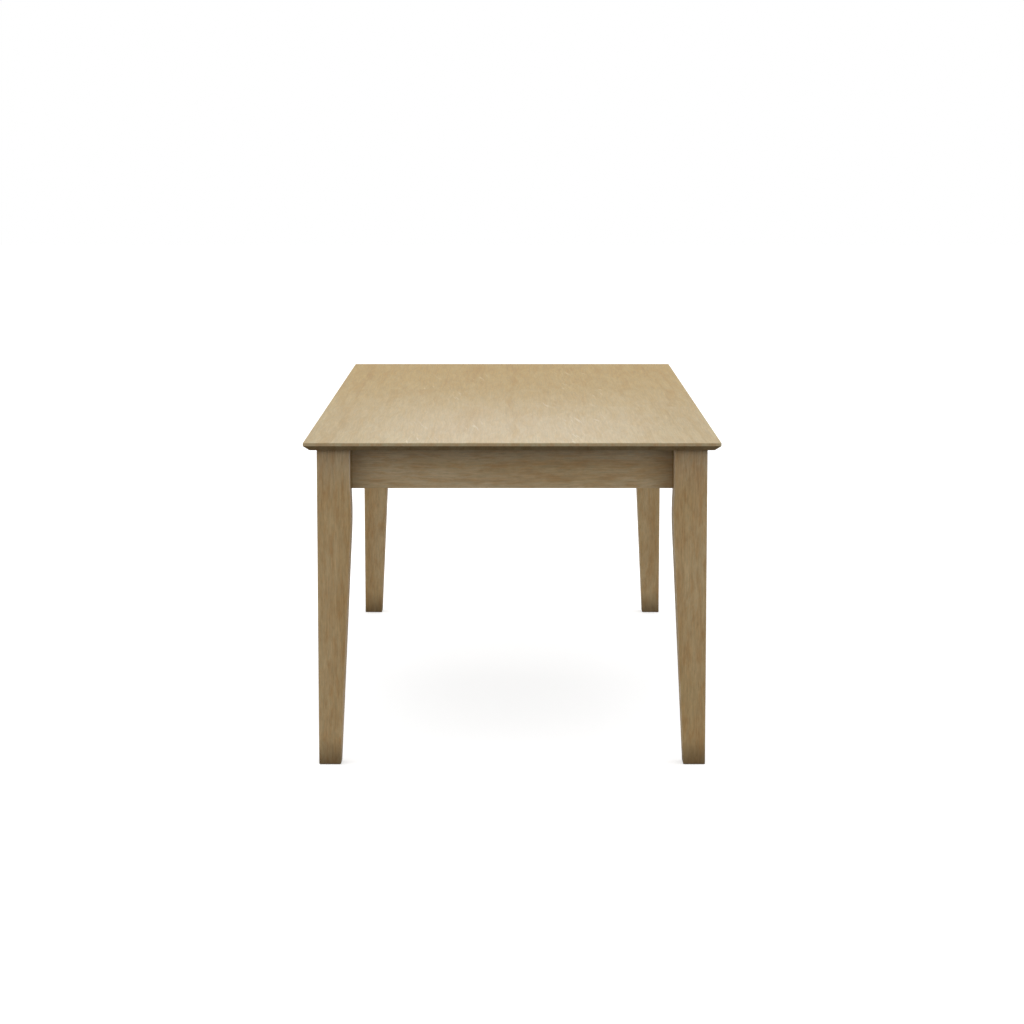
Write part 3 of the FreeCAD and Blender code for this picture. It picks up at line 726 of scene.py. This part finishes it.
def screw_set(name, body, screws):
    """Joins copies of the screw head into one object that rides on a body."""
    shape = bmesh.new()
    for number, (place, facing_way) in enumerate(screws):
        turn = facing_way.to_track_quat("Z", "Y").to_matrix().to_4x4()
        spin = Matrix.Rotation(SPIN_STEP * number, 4, "Z")
        copy = pan_head.copy()
        copy.transform(Matrix.Translation(place) @ turn @ spin)
        shape.from_mesh(copy)
        bpy.data.meshes.remove(copy)
    mesh = as_mesh(name, shape)
    mesh.materials.append(zinc)
    screws_object = add_object(name, mesh)
    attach(screws_object, body)
    print(name, "has", len(screws), "screws and", len(mesh.polygons), "faces")


def under(part_name, xs, ys):
    """Screws in the underside of a part."""
    low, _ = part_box(part_name)
    return [(Vector((x, y, low.z)), DOWN) for x in xs for y in ys]


def middle(part_name):
    """The middle of a part's box."""
    low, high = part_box(part_name)
    return (low + high) / 2


print("screws turn on by", SPIN_STEP, "radians each")

# %% [markdown]
# Each half has screws up through its two cleats into the board, through the runners into the cleats, and
# through the wings of the corner brackets. Those of the runners by the seam stand off the middle of the
# cleat, to keep clear of the crossbars that pass under them as the table opens.

# %% Screw the halves together
cleat_xs = (-0.33, -0.15, -0.05, 0.05, 0.15, 0.33)
cleat_step = 0.018
seam_step = 0.023
bracket_along = 0.069
bracket_steel = 0.0025
bracket_steps = (-0.014, 0.014)


def bracket_screws(half, toward):
    """Screws in the bracket wings. Toward is the way from the end to the middle of the table."""
    low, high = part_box(half + "_corner_brackets")
    level = (low.z + high.z) / 2
    corner_x = high.x
    corner_y = low.y if toward > 0 else high.y
    side_y = corner_y + toward * bracket_along
    end_y = corner_y + toward * bracket_steel
    screws = []
    for side in (-1, 1):
        for step in bracket_steps:
            on_side = Vector((side * (corner_x - bracket_steel), side_y, level + step))
            on_end = Vector((side * (corner_x - bracket_along), end_y, level + step))
            screws.append((on_side, Vector((-side, 0.0, 0.0))))
            screws.append((on_end, Vector((0.0, toward, 0.0))))
    return screws


def half_screws(half, toward):
    """All the screws of one half."""
    outer = middle(half + "_outer_cleat").y
    inner = middle(half + "_inner_cleat").y
    runner_x = middle(half + "_right_runner").x
    screws = under(half + "_outer_cleat", cleat_xs, (outer - cleat_step, outer + cleat_step))
    screws += under(half + "_inner_cleat", cleat_xs, (inner - cleat_step, inner + cleat_step))
    runner_ys = (outer - cleat_step, outer + cleat_step, inner + toward * seam_step)
    screws += under(half + "_right_runner", (-runner_x, runner_x), runner_ys)
    return screws + bracket_screws(half, toward)


screw_set("near_half_screws", "near_half", half_screws("near", 1.0))
screw_set("far_half_screws", "far_half", half_screws("far", -1.0))

# %% [markdown]
# The leaf's battens hold its board flat and rest on the runners. The crossbars tie the two middle runners
# into one frame, and each is fixed by a pair of screws at every crossing so that it can't rack.

# %% Screw the leaf's battens and the crossbars
batten_xs = (-0.17, -0.06, 0.06, 0.17)
leaf_set = []
for batten in ("leaf_near_batten", "leaf_far_batten"):
    leaf_set += under(batten, batten_xs, (middle(batten).y,))
screw_set("leaf_screws", "leaf", leaf_set)
bar_step = 0.015
runner_x = middle("centre_right_runner").x
bar_set = []
for bar in ("near_crossbar", "far_crossbar"):
    bar_y = middle(bar).y
    bar_set += under(bar, (-runner_x, runner_x), (bar_y - bar_step, bar_y + bar_step))
screw_set("crossbar_screws", "slide_frame", bar_set)

# %% [markdown]
# ## Floor, light and background
# The photograph stands on nothing but white, with one faint patch of shade under the middle of the table
# and a touch of it at each foot. A bright floor would throw light up under the table and wash out the
# shade there, and a dull one would not be white. So floor and sky are each two things at once, one for the
# camera and one for the light, and a light path node chooses between them. Mirrors see what the camera
# sees, or else the metal would reflect a set that isn't in the picture.

# %% Two looks in one


def grey(share):
    """An even grey that throws back a share of the light."""
    return (share, share, share, 1.0)


def shader(tree, kind, **inputs):
    """A shader node with its inputs set."""
    node = tree.nodes.new(kind)
    for name, value in inputs.items():
        node.inputs[name].default_value = value
    return node


def seen_directly(tree):
    """1 for what the camera, a gloss or a glass looks at, and 0 for light that bounces."""
    path = tree.nodes.new("ShaderNodeLightPath")
    seen = path.outputs["Is Camera Ray"]
    for other in ("Is Glossy Ray", "Is Transmission Ray"):
        larger = tree.nodes.new("ShaderNodeMath")
        larger.operation = "MAXIMUM"
        tree.links.new(seen, larger.inputs[0])
        tree.links.new(path.outputs[other], larger.inputs[1])
        seen = larger.outputs[0]
    return seen


def finish_twice(tree, to_light, to_camera, output_kind):
    """Ends a tree with one shader for light that bounces and another for the camera."""
    choose = tree.nodes.new("ShaderNodeMixShader")
    surface = tree.nodes.new(output_kind)
    tree.links.new(seen_directly(tree), choose.inputs[0])
    tree.links.new(to_light.outputs[0], choose.inputs[1])
    tree.links.new(to_camera.outputs[0], choose.inputs[2])
    tree.links.new(choose.outputs[0], surface.inputs["Surface"])


print("a shader tree can look one way to the camera and light another way")

# %% [markdown]
# To the camera the floor glows and is lit as well, which is brighter than white everywhere but in the
# deepest shade. To the light it is a dull grey, which throws only a little up under the table.

# %% Lay the floor
floor_size = 60.0
floor_glow = 0.532
shade_share = 0.8
bounce_share = 0.11
floor_shape = bmesh.new()
bmesh.ops.create_grid(floor_shape, x_segments=1, y_segments=1, size=floor_size / 2)
floor = add_object("floor", as_mesh("floor", floor_shape))

floor_material = bpy.data.materials.new("pale_floor")
floor_material.use_nodes = True
floor_tree = floor_material.node_tree
floor_tree.nodes.clear()
glow = shader(floor_tree, "ShaderNodeEmission", Strength=floor_glow)
lit = shader(floor_tree, "ShaderNodeBsdfDiffuse", Color=grey(shade_share))
dull = shader(floor_tree, "ShaderNodeBsdfDiffuse", Color=grey(bounce_share))
both = floor_tree.nodes.new("ShaderNodeAddShader")
floor_tree.links.new(glow.outputs[0], both.inputs[0])
floor_tree.links.new(lit.outputs[0], both.inputs[1])
finish_twice(floor_tree, dull, both, "ShaderNodeOutputMaterial")
floor.data.materials.append(floor_material)
print("floor", floor_size, "m square, glow", floor_glow)

# %% [markdown]
# The sky works the same way: one background to look at, and one that lights the table evenly from all
# sides. Both are white and equally strong here, and either could be changed alone. One broad lamp hangs
# overhead. The top shows a soft white sheen that is strongest at the near end and in the middle. A small
# gridded lamp beyond the far end gives part of it, since a lamp seen low in a satin surface lights only a
# patch of it, and the rest is a painted sheen in the top's colour. The shade under the table is lifted by a
# weak lamp between the legs, so that the far legs read as in the photograph.

# %% Light the set
sky_strength = 1.0
backdrop_strength = 1.0
world = bpy.data.worlds.new("soft_sky")
scene.world = world
world.use_nodes = True
sky_tree = world.node_tree
sky_tree.nodes.clear()
sky_light = shader(sky_tree, "ShaderNodeBackground", Color=grey(1.0), Strength=sky_strength)
backdrop = shader(sky_tree, "ShaderNodeBackground", Color=grey(1.0), Strength=backdrop_strength)
finish_twice(sky_tree, sky_light, backdrop, "ShaderNodeOutputWorld")


def softbox(name, width, depth, watts, place, tilt=0.0, spread=180.0, hidden=True):
    """An area lamp that looks down, or is tilted about X. The camera doesn't see a hidden one."""
    data = bpy.data.lights.new(name, "AREA")
    data.shape = "RECTANGLE"
    data.size = width
    data.size_y = depth
    data.energy = watts
    data.spread = math.radians(spread)
    lamp = add_object(name, data)
    lamp.location = place
    lamp.rotation_euler = (math.radians(tilt), 0.0, 0.0)
    lamp.visible_camera = not hidden
    print(name, watts, "W at", place)


softbox("overhead_softbox", 4.0, 5.0, 8.0, (0.0, 0.0, 4.0), hidden=False)
softbox("far_softbox", 0.8, 0.5, 0.053, (0.0, 1.9, 1.55), tilt=-76.5, spread=11.0)
softbox("low_softbox", 0.7, 0.25, 0.77, (0.0, -0.5, 0.35), tilt=90.0, spread=60.0)
